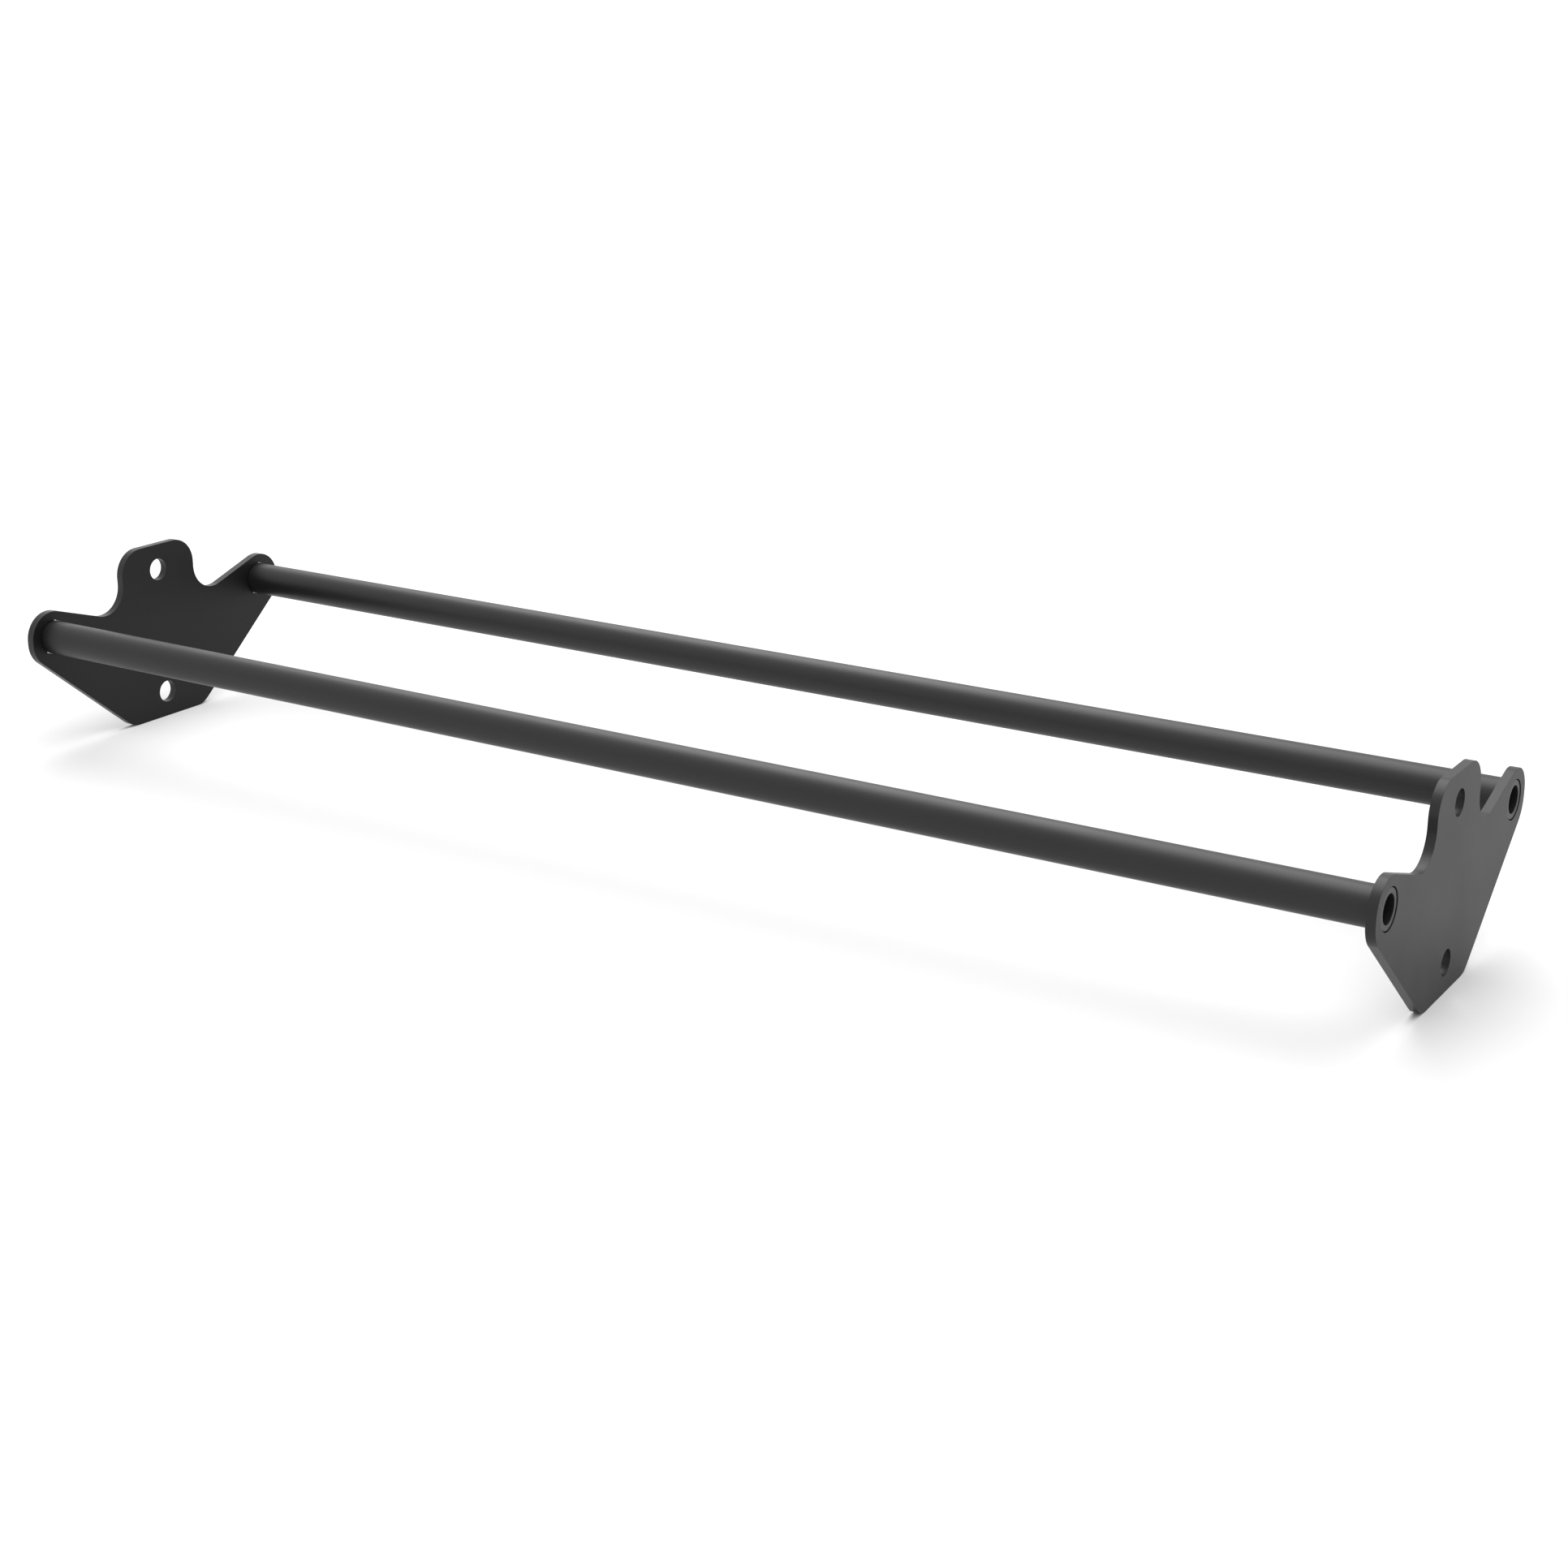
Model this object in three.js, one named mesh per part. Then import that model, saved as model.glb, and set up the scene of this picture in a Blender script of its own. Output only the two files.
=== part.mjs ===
// Double pull-up bar for a training rack. Two flat steel side plates stand at the ends and carry
// two parallel round bars. Each plate bolts through its two holes to the side of an upright.
// Units are millimetres. X runs along the bars, Y from the front bar to the rear bar, Z is up.
// The origin is midway between the plates, on the surface that their bottom edges stand on.
import * as THREE from "three";

// Overall frame
const OVERALL_LENGTH = 1056;
const PLATE_THICKNESS = 6;
const PLATE_HEIGHT = 140;

// Plate outline: a central tab as wide as the foot below it, and two arms that rise to the bars
const TAB_WIDTH = 75.6;
const ARM_TIP_OFFSET = 130.8;
const ARM_TIP_LOW = 77.8;
const ARM_TIP_HIGH = 117.6;
const ARM_ROOT_HEIGHT = 87.1;
const CORNER_RADIUS = 20;
const EDGE_BREAK = 0.4;

// Holes for the two bolts, one above the other on the tab's centre line
const BOLT_HOLE_DIAMETER = 17;
const BOLT_HOLE_HEIGHTS = [20, 120];

// Bars: round tubes set through clearance holes, their ends just below the plates' outer faces
const BAR_DIAMETER = 25;
const BAR_WALL = 3.5;
const BAR_AXIS_OFFSET = 110;
const BAR_AXIS_HEIGHT = 90;
const BAR_END_RECESS = 0.5;
const BAR_END_CHAMFER = 0.3;
const BAR_HOLE_CLEARANCE = 0.6;

// Weld runs: thin keys of metal in the ring-shaped gap round a bar, clear of its top and bottom
const WELD_GAP = 0.1;
const WELD_DEPTH = 1;
const WELD_ARC = THREE.MathUtils.degToRad(84);

// Facets
const CORNER_STEP = THREE.MathUtils.degToRad(6);
const BOLT_HOLE_SIDES = 40;
const BAR_SIDES = 60;

const BAR_RADIUS = BAR_DIAMETER / 2;
const BAR_BORE_RADIUS = BAR_RADIUS - BAR_WALL;
const BAR_HOLE_RADIUS = BAR_RADIUS + BAR_HOLE_CLEARANCE;
const BAR_LENGTH = OVERALL_LENGTH - 2 * BAR_END_RECESS;
const PLATE_CENTRE_X = (OVERALL_LENGTH - PLATE_THICKNESS) / 2;

const PLATES = [
  { side: "left", direction: -1 },
  { side: "right", direction: 1 },
];
const BARS = [
  { row: "front", direction: -1 },
  { row: "rear", direction: 1 },
];

const PLATE_COAT = { color: 0x2b2b2c, roughness: 0.5, metalness: 0 };
const BAR_COAT = { color: 0x2d2d2e, roughness: 0.45, metalness: 0 };
const WELD_METAL = { color: 0x232324, roughness: 0.6, metalness: 0 };

// Puts a named mesh with a material of its own at a place in the part
function addPiece(group, name, geometry, finish, position) {
  const piece = new THREE.Mesh(geometry, new THREE.MeshStandardMaterial(finish));
  piece.name = name;
  piece.position.copy(position);
  group.add(piece);
}

// The points of a closed outline whose corners are all rounded to one radius
function roundedOutline(corners, radius) {
  const points = [];
  corners.forEach((corner, index) => {
    const before = corners[(index + corners.length - 1) % corners.length];
    const after = corners[(index + 1) % corners.length];
    const arriving = corner.clone().sub(before).normalize();
    const leaving = after.clone().sub(corner).normalize();
    const turn = Math.atan2(arriving.cross(leaving), arriving.dot(leaving));
    const tangent = radius * Math.tan(Math.abs(turn) / 2);
    const start = corner.clone().addScaledVector(arriving, -tangent);
    const inward = new THREE.Vector2(-arriving.y, arriving.x).multiplyScalar(Math.sign(turn));
    const centre = start.clone().addScaledVector(inward, radius);
    const steps = Math.ceil(Math.abs(turn) / CORNER_STEP);
    for (let step = 0; step <= steps; step += 1) {
      points.push(start.clone().rotateAround(centre, (turn * step) / steps));
    }
  });
  return points;
}

// Points round a centre, evenly spaced between two angles
function arcPoints(centre, radius, from, to, steps) {
  return Array.from({ length: steps + 1 }, (_, step) => {
    const angle = from + ((to - from) * step) / steps;
    return new THREE.Vector2(Math.cos(angle), Math.sin(angle)).multiplyScalar(radius).add(centre);
  });
}

// A round hole, as a closed path of straight sides
function holePath(centre, radius, sides) {
  return new THREE.Path(arcPoints(centre, radius, 0, 2 * Math.PI, sides).slice(0, sides));
}

// The plate's sharp corners in Y and Z, counter-clockwise from the rear end of the foot
function plateCorners() {
  const rear = [
    new THREE.Vector2(TAB_WIDTH / 2, 0),
    new THREE.Vector2(ARM_TIP_OFFSET, ARM_TIP_LOW),
    new THREE.Vector2(ARM_TIP_OFFSET, ARM_TIP_HIGH),
    new THREE.Vector2(TAB_WIDTH / 2, ARM_ROOT_HEIGHT),
    new THREE.Vector2(TAB_WIDTH / 2, PLATE_HEIGHT),
  ];
  const front = rear.map((corner) => new THREE.Vector2(-corner.x, corner.y)).reverse();
  return [...rear, ...front];
}

// Extrudes a shape drawn in Y and Z along X, centred on its own middle
function extrudeAlongX(shape, length, edgeBreak) {
  const geometry = new THREE.ExtrudeGeometry(shape, {
    depth: length - 2 * edgeBreak,
    bevelEnabled: edgeBreak > 0,
    bevelThickness: edgeBreak,
    bevelSize: edgeBreak,
    bevelOffset: -edgeBreak,
    bevelSegments: 1,
  });
  geometry.translate(0, 0, edgeBreak - length / 2);
  geometry.applyMatrix4(new THREE.Matrix4().set(0, 0, 1, 0, 1, 0, 0, 0, 0, 1, 0, 0, 0, 0, 0, 1));
  return geometry;
}

// A side plate: its outline, the bolt holes and the holes for the bars, with every edge broken
function sidePlate() {
  const shape = new THREE.Shape(roundedOutline(plateCorners(), CORNER_RADIUS));
  for (const height of BOLT_HOLE_HEIGHTS) {
    const centre = new THREE.Vector2(0, height);
    shape.holes.push(holePath(centre, BOLT_HOLE_DIAMETER / 2, BOLT_HOLE_SIDES));
  }
  for (const { direction } of BARS) {
    const centre = new THREE.Vector2(direction * BAR_AXIS_OFFSET, BAR_AXIS_HEIGHT);
    shape.holes.push(holePath(centre, BAR_HOLE_RADIUS, BAR_SIDES));
  }
  return extrudeAlongX(shape, PLATE_THICKNESS, EDGE_BREAK);
}

// A bar: an open tube whose end edges are chamfered inside and out
function bar() {
  const end = BAR_LENGTH / 2;
  const halfSection = [
    new THREE.Vector2(BAR_RADIUS, end - BAR_END_CHAMFER),
    new THREE.Vector2(BAR_RADIUS - BAR_END_CHAMFER, end),
    new THREE.Vector2(BAR_BORE_RADIUS + BAR_END_CHAMFER, end),
    new THREE.Vector2(BAR_BORE_RADIUS, end - BAR_END_CHAMFER),
  ];
  const otherHalf = halfSection.map((point) => new THREE.Vector2(point.x, -point.y)).reverse();
  const section = [...halfSection, ...otherHalf, halfSection[0]];
  return new THREE.LatheGeometry(section, BAR_SIDES).rotateZ(-Math.PI / 2);
}

// A weld run: part of a ring between a bar and its hole, on the side that the direction gives
function weldRun(direction) {
  const middle = direction > 0 ? 0 : Math.PI;
  const steps = Math.round((WELD_ARC / (2 * Math.PI)) * BAR_SIDES);
  const centre = new THREE.Vector2(0, 0);
  const from = middle - WELD_ARC / 2;
  const to = middle + WELD_ARC / 2;
  const outside = arcPoints(centre, BAR_HOLE_RADIUS - WELD_GAP, from, to, steps);
  const inside = arcPoints(centre, BAR_RADIUS + WELD_GAP, to, from, steps);
  return extrudeAlongX(new THREE.Shape([...outside, ...inside]), PLATE_THICKNESS - 2 * WELD_DEPTH, 0);
}

const pullUpBar = new THREE.Group();
for (const plate of PLATES) {
  const plateX = plate.direction * PLATE_CENTRE_X;
  const middle = new THREE.Vector3(plateX, 0, 0);
  addPiece(pullUpBar, `${plate.side}_side_plate`, sidePlate(), PLATE_COAT, middle);
  for (const { row, direction } of BARS) {
    const joint = new THREE.Vector3(plateX, direction * BAR_AXIS_OFFSET, BAR_AXIS_HEIGHT);
    const name = `${plate.side}_${row}_weld`;
    addPiece(pullUpBar, `${name}_outer`, weldRun(direction), WELD_METAL, joint);
    addPiece(pullUpBar, `${name}_inner`, weldRun(-direction), WELD_METAL, joint);
  }
}
for (const { row, direction } of BARS) {
  const axis = new THREE.Vector3(0, direction * BAR_AXIS_OFFSET, BAR_AXIS_HEIGHT);
  addPiece(pullUpBar, `${row}_bar`, bar(), BAR_COAT, axis);
}

export default pullUpBar;
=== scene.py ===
# Looks of a double pull-up bar for a training rack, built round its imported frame.
# Units are metres, in the part's own frame: X along the bars, Y from front to rear, Z up.
import math

import bpy
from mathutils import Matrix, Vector
from mathutils.geometry import tessellate_polygon


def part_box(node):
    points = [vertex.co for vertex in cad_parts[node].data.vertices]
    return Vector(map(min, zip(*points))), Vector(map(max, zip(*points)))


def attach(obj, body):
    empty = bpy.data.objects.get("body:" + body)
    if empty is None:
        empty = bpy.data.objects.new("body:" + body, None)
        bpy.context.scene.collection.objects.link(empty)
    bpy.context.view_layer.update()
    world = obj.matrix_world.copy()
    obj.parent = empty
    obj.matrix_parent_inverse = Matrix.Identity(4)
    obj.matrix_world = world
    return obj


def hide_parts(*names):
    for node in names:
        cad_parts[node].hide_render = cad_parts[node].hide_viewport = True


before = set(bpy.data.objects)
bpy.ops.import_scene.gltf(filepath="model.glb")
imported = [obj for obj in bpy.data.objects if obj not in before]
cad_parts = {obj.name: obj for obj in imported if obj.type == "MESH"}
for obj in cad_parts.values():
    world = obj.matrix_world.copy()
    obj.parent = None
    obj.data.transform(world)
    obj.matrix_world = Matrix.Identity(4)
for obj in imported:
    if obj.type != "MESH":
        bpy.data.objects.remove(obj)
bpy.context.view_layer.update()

BODY = "root"
MM = 0.001

# Sizes of the CAD part that its boxes don't tell
TAB_HALF_WIDTH = 37.8 * MM
ARM_TIP_LOW = 77.8 * MM
ARM_TIP_HIGH = 117.6 * MM
ARM_ROOT_HEIGHT = 87.1 * MM
CORNER_RADIUS = 20 * MM
BOLT_HOLE_RADIUS = 8.5 * MM
BOLT_HOLE_HEIGHTS = (20 * MM, 120 * MM)
BAR_HOLE_CLEARANCE = 0.6 * MM
BAR_WALL = 3.5 * MM

# Edges and fineness of the visible surfaces
PLATE_EDGE_RADIUS = 0.15 * MM
BAR_EDGE_RADIUS = 0.3 * MM
EDGE_STEPS = 4
CORNER_STEP = math.radians(2)
HOLE_SIDES = 120
BAR_SIDES = 192

# Weld runs: rippled along the arc and fused into the bar and the plate. The end share is how much of
# the section's area is left at the very ends, and a corner power under 1 squares the section's corners.
WELD_FUSION = 0.15 * MM
WELD_RIPPLE_PITCH = 0.9 * MM
WELD_RIPPLE_HEIGHT = 0.18 * MM
WELD_END_TAPER = 1.6 * MM
WELD_END_SHARE = 0.02
WELD_CORNER_POWER = 0.5
WELD_STEPS = 160
WELD_SECTION_POINTS = 16

# Powder coat: the grey tone, index of refraction and roughness of each surface
PLATE_TONE = 0.0025
PLATE_IOR = 1.33
PLATE_ROUGHNESS = 0.455
# Rims and hole walls: the plate coat painted lighter than the faces, a painted highlight
RIM_PAINTED_HIGHLIGHT_TONE = 0.0079
RIM_IOR = 1.375
RIM_ROUGHNESS = 0.385
BAR_TONE = 0.0060
BAR_IOR = 1.418
BAR_ROUGHNESS = 0.454
# Bore walls: a rougher coat painted darker than the bar's outside, a painted shade
BORE_PAINTED_SHADE_TONE = 0.003
BORE_IOR = 1.30
BORE_ROUGHNESS = 0.75
WELD_TONE = 0.010
WELD_IOR = 1.33
WELD_ROUGHNESS = 0.5

# Texture of every coat: slow drift in tone and gloss, orange peel, and a fine grain that also speckles
COAT_DRIFT_SIZE = 60 * MM
COAT_DRIFT_DETAIL = 2
COAT_DRIFT = 0.06
COAT_GLOSS_DRIFT = 0.02
COAT_PEEL_SIZE = 1.6 * MM
COAT_PEEL_DETAIL = 1
COAT_PEEL_DEPTH = 0.006 * MM
COAT_GRAIN_SIZE = 0.35 * MM
COAT_GRAIN_DETAIL = 3
COAT_GRAIN_DEPTH = 0.002 * MM
COAT_SPECKLE = 0.10

# The range that most values of a noise texture lie in
NOISE_LOW = 0.3
NOISE_HIGH = 0.7

# Camera
CAMERA_PLACE = (0.9475, -1.3791, 0.5970)
CAMERA_TURN = math.radians(32.6355)
CAMERA_DIP = math.radians(18.551)
CAMERA_LENS = 58.318
CAMERA_SENSOR = 36.0

# Studio: an even sky, one softbox, and a floor that goes from its near tone to its far tone between
# two distances from the part
SKY_STRENGTH = 1.096
SOFTBOX_PLACE = (-0.78, 1.19, 2.7)
SOFTBOX_TURN = math.radians(-43.3)
SOFTBOX_LENGTH = 6.44
SOFTBOX_WIDTH = 2.25
SOFTBOX_POWER = 159.7
FLOOR_SIZE = 30.0
FLOOR_NEAR_TONE = 0.583
FLOOR_FAR_TONE = 0.97
FLOOR_NEAR_REACH = 0.9
FLOOR_FAR_REACH = 2.4


def make_object(name, points, faces, normals):
    """A smooth mesh object whose vertex normals are given, so flat faces stay flat."""
    mesh = bpy.data.meshes.new(name)
    mesh.from_pydata(points, [], faces)
    mesh.validate()
    mesh.polygons.foreach_set("use_smooth", [True] * len(mesh.polygons))
    mesh.normals_split_custom_set_from_vertices(normals)
    mesh.update()
    piece = bpy.data.objects.new(name, mesh)
    bpy.context.scene.collection.objects.link(piece)
    return piece


def set_second_finish(piece, first, last):
    """Gives the piece's faces from first up to last its second material."""
    for face in piece.data.polygons[first:last]:
        face.material_index = 1


def strip(first, second, count):
    """The quads between two rings of points that start at these two indices."""
    return [
        (first + i, first + (i + 1) % count, second + (i + 1) % count, second + i)
        for i in range(count)
    ]


def facing(points, face, direction):
    """The face, with its corners in the order that makes it look along X in this direction."""
    a, b, c = (Vector(points[i]) for i in face)
    looks = (b - a).cross(c - a).x
    return face if looks * direction > 0 else face[::-1]


def edge_profile(radius):
    """Quarter-circle steps from a face to the wall beside it, as (inset, drop, along, across).

    Inset and drop are how far a step lies back from the wall and from the face. Along and across are
    how much its normal looks out of the face and out of the wall.
    """
    profile = []
    for step in range(EDGE_STEPS + 1):
        angle = math.pi / 2 * step / EDGE_STEPS
        along, across = math.cos(angle), math.sin(angle)
        profile.append((radius * (1 - across), radius * (1 - along), along, across))
    return profile


def wall_rings(start, end, edge_radius):
    """Rings of a wall along X with a rounded edge at both ends, as (x, inset, along, across)."""
    profile = edge_profile(edge_radius)
    near = [(start + drop, inset, -along, across) for inset, drop, along, across in profile]
    far = [(end - drop, inset, along, across) for inset, drop, along, across in reversed(profile)]
    return near + far


def turned(vector, angle):
    """A flat vector, turned counter-clockwise by this angle."""
    cosine, sine = math.cos(angle), math.sin(angle)
    return Vector((vector.x * cosine - vector.y * sine, vector.x * sine + vector.y * cosine))


def rounded_outline(corners, radius):
    """Points of an outline with rounded corners, each with the direction out of the material."""
    outline = []
    for index, corner in enumerate(corners):
        arriving = (corner - corners[index - 1]).normalized()
        leaving = (corners[(index + 1) % len(corners)] - corner).normalized()
        turn = math.atan2(arriving.cross(leaving), arriving.dot(leaving))
        side = math.copysign(1, turn)
        start = corner - arriving * radius * math.tan(abs(turn) / 2)
        to_centre = Vector((-arriving.y, arriving.x)) * side
        centre = start + to_centre * radius
        steps = math.ceil(abs(turn) / CORNER_STEP)
        for step in range(steps + 1):
            spoke = turned(-to_centre, turn * step / steps)
            outline.append((centre + spoke * radius, spoke * side))
    return outline


def hole_outline(centre, radius):
    """Points round a hole, each with the direction out of the material, towards its centre."""
    outline = []
    for side in range(HOLE_SIDES):
        angle = -2 * math.pi * side / HOLE_SIDES
        spoke = Vector((math.cos(angle), math.sin(angle)))
        outline.append((centre + spoke * radius, -spoke))
    return outline


def plate_corners(tip_offset, height):
    """The plate's sharp corners in Y and Z, counter-clockwise from the rear end of the foot."""
    rear = [
        Vector((TAB_HALF_WIDTH, 0)),
        Vector((tip_offset, ARM_TIP_LOW)),
        Vector((tip_offset, ARM_TIP_HIGH)),
        Vector((TAB_HALF_WIDTH, ARM_ROOT_HEIGHT)),
        Vector((TAB_HALF_WIDTH, height)),
    ]
    front = [Vector((-corner.x, corner.y)) for corner in reversed(rear)]
    return rear + front


def bar_size(node):
    """A bar's axis in Y and Z, its radius, and where it starts and ends along X."""
    low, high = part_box(node)
    axis = Vector(((low.y + high.y) / 2, (low.z + high.z) / 2))
    return axis, (high.z - low.z) / 2, (low.x, high.x)


def make_plate(node, bars):
    """A side plate with its bolt holes and bar holes, every edge softly rounded.

    Its rims and the walls of its holes take the second material: the same coat painted lighter, a painted
    highlight.
    """
    low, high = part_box(node)
    outlines = [rounded_outline(plate_corners(high.y, high.z), CORNER_RADIUS)]
    for hole_height in BOLT_HOLE_HEIGHTS:
        outlines.append(hole_outline(Vector((0, hole_height)), BOLT_HOLE_RADIUS))
    for bar in bars:
        centre, radius, _ = bar_size(bar)
        outlines.append(hole_outline(centre, radius + BAR_HOLE_CLEARANCE))
    rings = wall_rings(low.x, high.x, PLATE_EDGE_RADIUS)
    points, normals, faces = [], [], []
    caps = {0: [], len(rings) - 1: []}
    for outline in outlines:
        count = len(outline)
        for number, (x, inset, along, across) in enumerate(rings):
            if number in caps:
                caps[number].append(range(len(points), len(points) + count))
            if number:
                faces += strip(len(points) - count, len(points), count)
            for point, outward in outline:
                place = point - outward * inset
                points.append((x, place.x, place.y))
                normals.append((along, outward.x * across, outward.y * across))
    rim_faces = len(faces)
    for number, loops in caps.items():
        indices = [index for loop in loops for index in loop]
        flat = [[Vector((points[i][1], points[i][2], 0)) for i in loop] for loop in loops]
        for triangle in tessellate_polygon(flat):
            face = [indices[i] for i in triangle]
            faces.append(facing(points, face, -1 if number == 0 else 1))
    plate = make_object(node + "_plate", points, faces, normals)
    set_second_finish(plate, 0, rim_faces)
    return plate


def make_bar(node):
    """An open tube with softly rounded end edges, turned round its own axis.

    The wall of its bore takes the second material: a rougher coat painted darker, a painted shade.
    """
    axis, radius, (start, end) = bar_size(node)
    bore = radius - BAR_WALL
    wall = wall_rings(start, end, BAR_EDGE_RADIUS)
    section = [(x, radius - inset, along, across) for x, inset, along, across in wall]
    section += [(x, bore + inset, along, -across) for x, inset, along, across in reversed(wall)]
    points, normals, faces = [], [], []
    for x, reach, along, across in section:
        for side in range(BAR_SIDES):
            angle = 2 * math.pi * side / BAR_SIDES
            y, z = math.cos(angle), math.sin(angle)
            points.append((x, axis.x + reach * y, axis.y + reach * z))
            normals.append((along, across * y, across * z))
    for ring in range(len(section)):
        following = (ring + 1) % len(section)
        faces += strip(ring * BAR_SIDES, following * BAR_SIDES, BAR_SIDES)
    tube = make_object(node + "_tube", points, faces, normals)
    bore_wall = len(wall) + EDGE_STEPS
    set_second_finish(tube, bore_wall * BAR_SIDES, (bore_wall + 1) * BAR_SIDES)
    return tube


def make_weld(node, bar):
    """A weld run in the gap between a bar and its hole, its two faces rippled along the arc."""
    low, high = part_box(node)
    axis, radius, _ = bar_size(bar)
    side = math.copysign(1, (low.y + high.y) / 2 - axis.x)
    inner = radius - WELD_FUSION
    outer = radius + BAR_HOLE_CLEARANCE + WELD_FUSION
    half_arc = math.asin((high.z - low.z) / 2 / (radius + BAR_HOLE_CLEARANCE))
    half_length = (high.x - low.x) / 2
    points, faces, normals = [], [], []
    for step in range(WELD_STEPS + 1):
        angle = half_arc * (2 * step / WELD_STEPS - 1)
        from_end = (half_arc - abs(angle)) * radius
        taper = math.sqrt(max(WELD_END_SHARE, 1 - (1 - min(1, from_end / WELD_END_TAPER)) ** 2))
        ripple = abs(math.sin(math.pi * angle * radius / WELD_RIPPLE_PITCH)) * WELD_RIPPLE_HEIGHT
        reach_along = (half_length - WELD_RIPPLE_HEIGHT + ripple) * taper
        reach_across = (outer - inner) / 2 * taper
        y, z = side * math.cos(angle), math.sin(angle)
        for corner in range(WELD_SECTION_POINTS):
            turn = 2 * math.pi * corner / WELD_SECTION_POINTS
            along = math.copysign(abs(math.cos(turn)) ** WELD_CORNER_POWER, math.cos(turn))
            across = math.copysign(abs(math.sin(turn)) ** WELD_CORNER_POWER, math.sin(turn))
            reach = (inner + outer) / 2 + across * reach_across
            x = (low.x + high.x) / 2 + along * reach_along
            points.append((x, axis.x + reach * y, axis.y + reach * z))
            normals.append((math.cos(turn), math.sin(turn) * y, math.sin(turn) * z))
    for step in range(WELD_STEPS):
        ring = step * WELD_SECTION_POINTS
        faces += strip(ring, ring + WELD_SECTION_POINTS, WELD_SECTION_POINTS)
    last = WELD_STEPS * WELD_SECTION_POINTS
    faces.append(tuple(reversed(range(WELD_SECTION_POINTS))))
    faces.append(tuple(range(last, last + WELD_SECTION_POINTS)))
    if side < 0:
        faces = [face[::-1] for face in faces]
    return make_object(node + "_run", points, faces, normals)


def add_node(tree, kind, inputs=(), **settings):
    """A shader node with its settings, and its inputs given as values or as another node's output."""
    node = tree.nodes.new(kind)
    for name, value in settings.items():
        setattr(node, name, value)
    for name, value in dict(inputs).items():
        if isinstance(value, bpy.types.NodeSocket):
            tree.links.new(value, node.inputs[name])
        else:
            node.inputs[name].default_value = value
    return node


def noise(tree, place, size, detail):
    """Even noise whose lumps are about this many metres across."""
    inputs = {"Vector": place, "Scale": 1 / size, "Detail": detail}
    return add_node(tree, "ShaderNodeTexNoise", inputs).outputs["Fac"]


def spread(tree, value, low, high):
    """Maps the middle of a noise's range on to values from low to high."""
    inputs = {"Value": value, "From Min": NOISE_LOW, "From Max": NOISE_HIGH, "To Min": low, "To Max": high}
    return add_node(tree, "ShaderNodeMapRange", inputs).outputs["Result"]


def new_material(name):
    """A material with nodes, its node tree and its surface shader."""
    material = bpy.data.materials.new(name)
    material.use_nodes = True
    tree = material.node_tree
    shader = next(node for node in tree.nodes if node.type == "BSDF_PRINCIPLED")
    return material, tree, shader


def powder_coat(name, tone, ior, roughness):
    """Satin black powder coat: a fine orange peel, a finer grain and a little drift in tone and gloss."""
    material, tree, shader = new_material(name)
    place = add_node(tree, "ShaderNodeTexCoord").outputs["Object"]
    drift = noise(tree, place, COAT_DRIFT_SIZE, COAT_DRIFT_DETAIL)
    peel = noise(tree, place, COAT_PEEL_SIZE, COAT_PEEL_DETAIL)
    grain = noise(tree, place, COAT_GRAIN_SIZE, COAT_GRAIN_DETAIL)
    drifting = spread(tree, drift, tone * (1 - COAT_DRIFT), tone * (1 + COAT_DRIFT))
    speckle = spread(tree, grain, 1 - COAT_SPECKLE, 1 + COAT_SPECKLE)
    speckled = add_node(tree, "ShaderNodeMath", {0: drifting, 1: speckle}, operation="MULTIPLY")
    gloss = spread(tree, drift, roughness - COAT_GLOSS_DRIFT, roughness + COAT_GLOSS_DRIFT)
    peeled = add_node(tree, "ShaderNodeBump", {"Height": peel, "Distance": COAT_PEEL_DEPTH})
    relief = {"Height": grain, "Distance": COAT_GRAIN_DEPTH, "Normal": peeled.outputs["Normal"]}
    grained = add_node(tree, "ShaderNodeBump", relief)
    tree.links.new(speckled.outputs["Value"], shader.inputs["Base Color"])
    tree.links.new(gloss, shader.inputs["Roughness"])
    tree.links.new(grained.outputs["Normal"], shader.inputs["Normal"])
    shader.inputs["IOR"].default_value = ior
    return material


def finish_piece(piece, materials, slot, *nodes):
    """Gives a piece its finish, lets it ride on the body, and hides the CAD nodes that it stands for."""
    for material in materials:
        piece.data.materials.append(material)
    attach(piece, BODY)
    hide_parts(*nodes)


def make_floor():
    """A plain pale floor to the horizon, paler beyond the softbox's reach so that it stays even."""
    half = FLOOR_SIZE / 2
    corners = [(-half, -half, 0), (half, -half, 0), (half, half, 0), (-half, half, 0)]
    floor = make_object("floor", corners, [(0, 1, 2, 3)], [(0, 0, 1)] * 4)
    material, tree, shader = new_material("floor_white")
    place = add_node(tree, "ShaderNodeTexCoord").outputs["Object"]
    reach = add_node(tree, "ShaderNodeVectorMath", {0: place}, operation="LENGTH").outputs["Value"]
    inputs = {
        "Value": reach,
        "From Min": FLOOR_NEAR_REACH,
        "From Max": FLOOR_FAR_REACH,
        "To Min": FLOOR_NEAR_TONE,
        "To Max": FLOOR_FAR_TONE,
    }
    tone = add_node(tree, "ShaderNodeMapRange", inputs, interpolation_type="SMOOTHSTEP").outputs["Result"]
    tree.links.new(tone, shader.inputs["Base Color"])
    shader.inputs["Roughness"].default_value = 1.0
    shader.inputs["Specular IOR Level"].default_value = 0.0
    floor.data.materials.append(material)


def make_sky():
    """Even white light from all round, as in a light tent."""
    world = bpy.data.worlds.new("light_tent")
    world.use_nodes = True
    background = next(node for node in world.node_tree.nodes if node.type == "BACKGROUND")
    background.inputs["Color"].default_value = (1, 1, 1, 1)
    background.inputs["Strength"].default_value = SKY_STRENGTH
    bpy.context.scene.world = world


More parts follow.
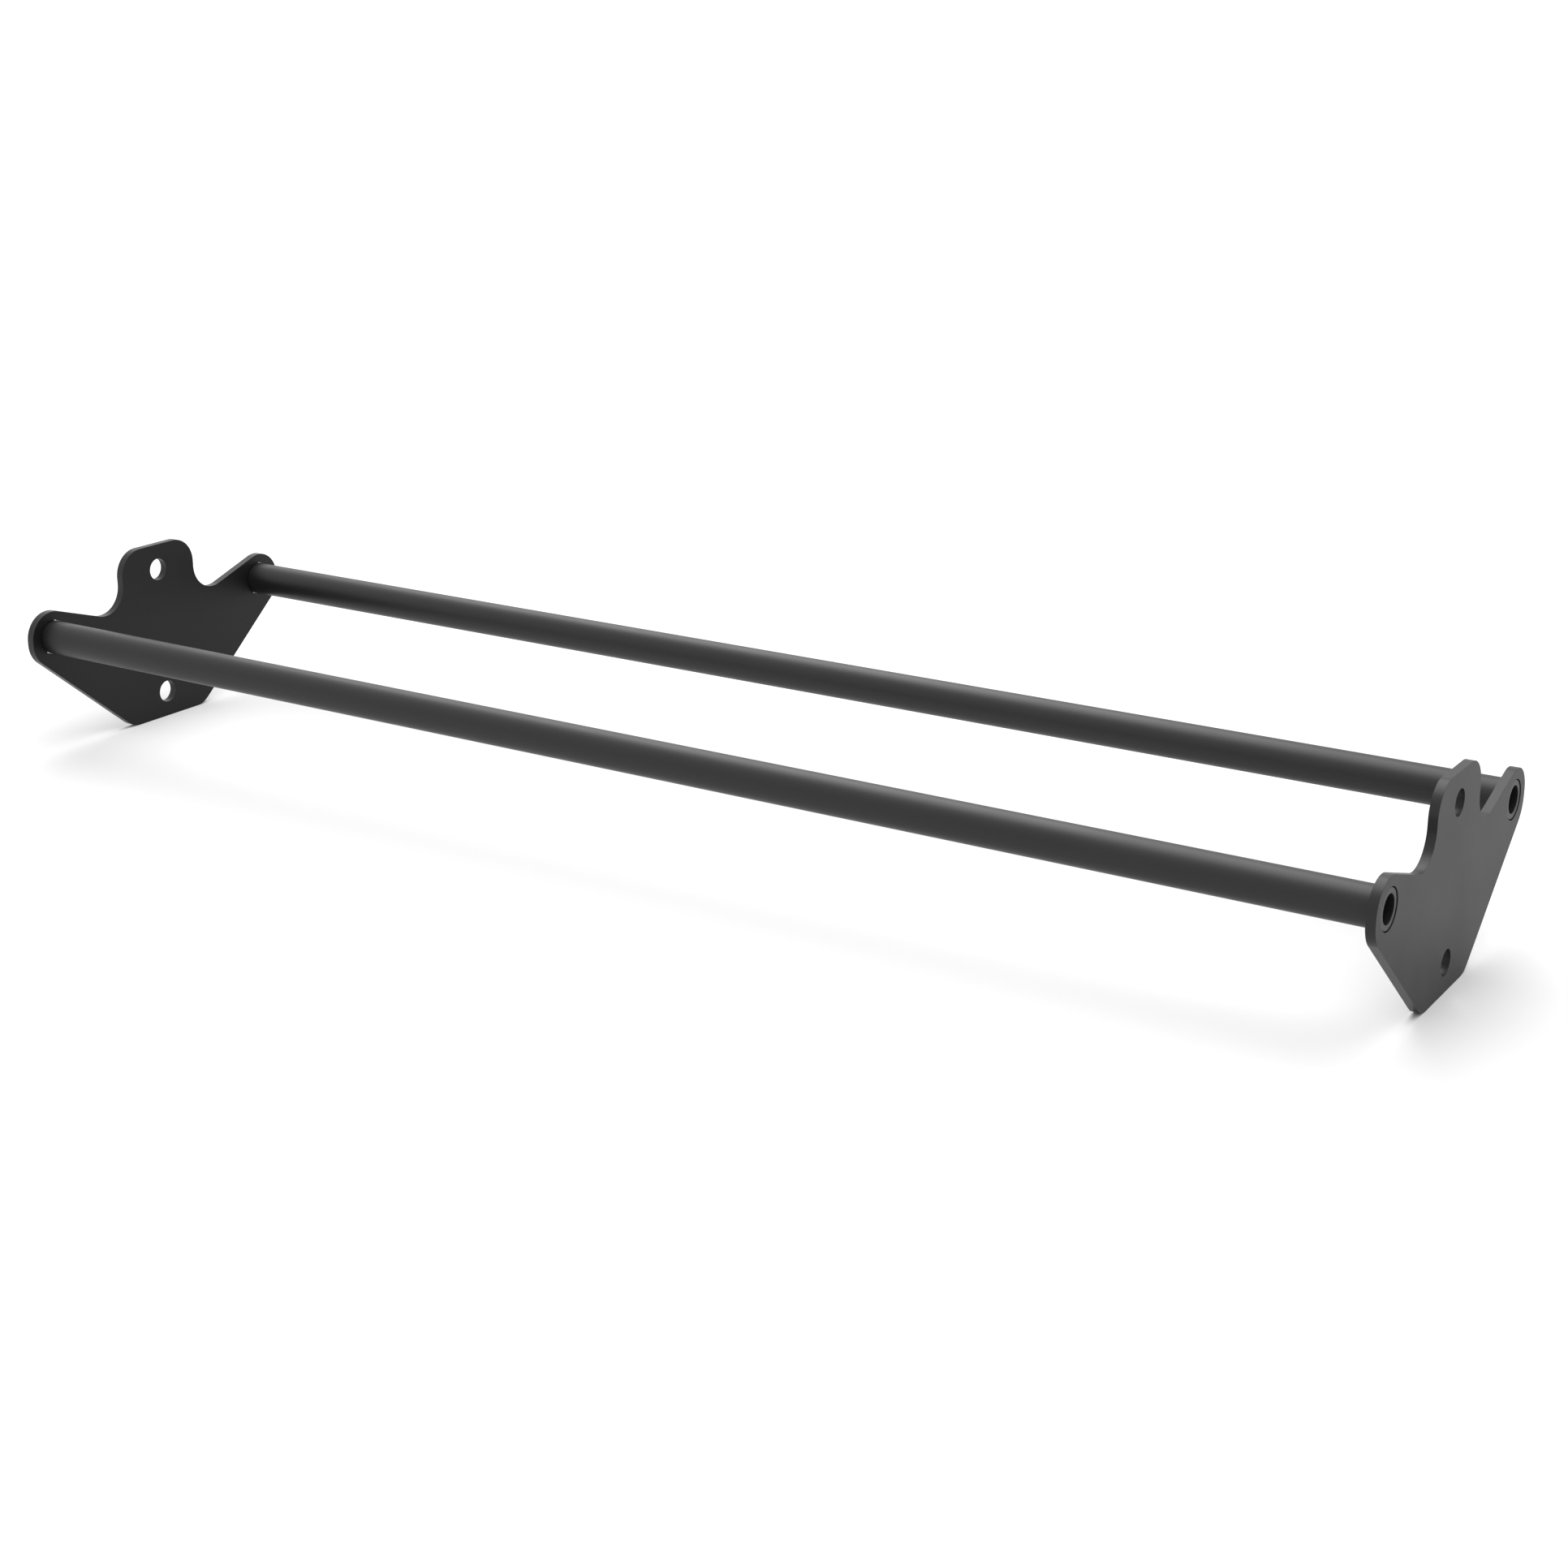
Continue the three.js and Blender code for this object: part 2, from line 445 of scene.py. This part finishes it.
def make_softbox():
    """A long softbox overhead, which lays the light band on the bars and lights the rims."""
    data = bpy.data.lights.new("softbox", "AREA")
    data.shape = "RECTANGLE"
    data.size = SOFTBOX_LENGTH
    data.size_y = SOFTBOX_WIDTH
    data.energy = SOFTBOX_POWER
    softbox = bpy.data.objects.new("softbox", data)
    softbox.location = SOFTBOX_PLACE
    softbox.rotation_euler = (0, 0, SOFTBOX_TURN)
    bpy.context.scene.collection.objects.link(softbox)


def make_camera():
    """The camera in front of the bar, above it and to the right of its middle."""
    data = bpy.data.cameras.new("camera")
    data.sensor_width = CAMERA_SENSOR
    data.lens = CAMERA_LENS
    data.clip_end = FLOOR_SIZE
    camera = bpy.data.objects.new("camera", data)
    camera.location = CAMERA_PLACE
    camera.rotation_euler = (math.pi / 2 - CAMERA_DIP, 0, CAMERA_TURN)
    bpy.context.scene.collection.objects.link(camera)
    bpy.context.scene.camera = camera


# Tones are shown as they are, with no film look
bpy.context.scene.view_settings.view_transform = "Standard"

make_camera()
make_sky()
make_softbox()
make_floor()

bars = [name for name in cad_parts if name.endswith("_bar")]
plates = [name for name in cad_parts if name.endswith("_side_plate")]
welds = [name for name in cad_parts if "_weld_" in name]

plate_coat = powder_coat("plate_coat", PLATE_TONE, PLATE_IOR, PLATE_ROUGHNESS)
# The rims' coat is painted lighter than the faces: painted highlight
rim_painted_highlight_coat = powder_coat("rim_painted_highlight_coat", RIM_PAINTED_HIGHLIGHT_TONE, RIM_IOR, RIM_ROUGHNESS)
bar_coat = powder_coat("bar_coat", BAR_TONE, BAR_IOR, BAR_ROUGHNESS)
# The bores' coat is painted darker than the bar's outside: painted shade
bore_painted_shade_coat = powder_coat("bore_painted_shade_coat", BORE_PAINTED_SHADE_TONE, BORE_IOR, BORE_ROUGHNESS)
weld_metal = powder_coat("weld_metal", WELD_TONE, WELD_IOR, WELD_ROUGHNESS)

for node in plates:
    finish_piece(make_plate(node, bars), [plate_coat, rim_painted_highlight_coat], "plate_coat", node)
for node in bars:
    finish_piece(make_bar(node), [bar_coat, bore_painted_shade_coat], "bar_coat", node)
for node in welds:
    bar = next(name for name in bars if name.split("_")[0] in node)
    finish_piece(make_weld(node, bar), [weld_metal], "weld_metal", node)
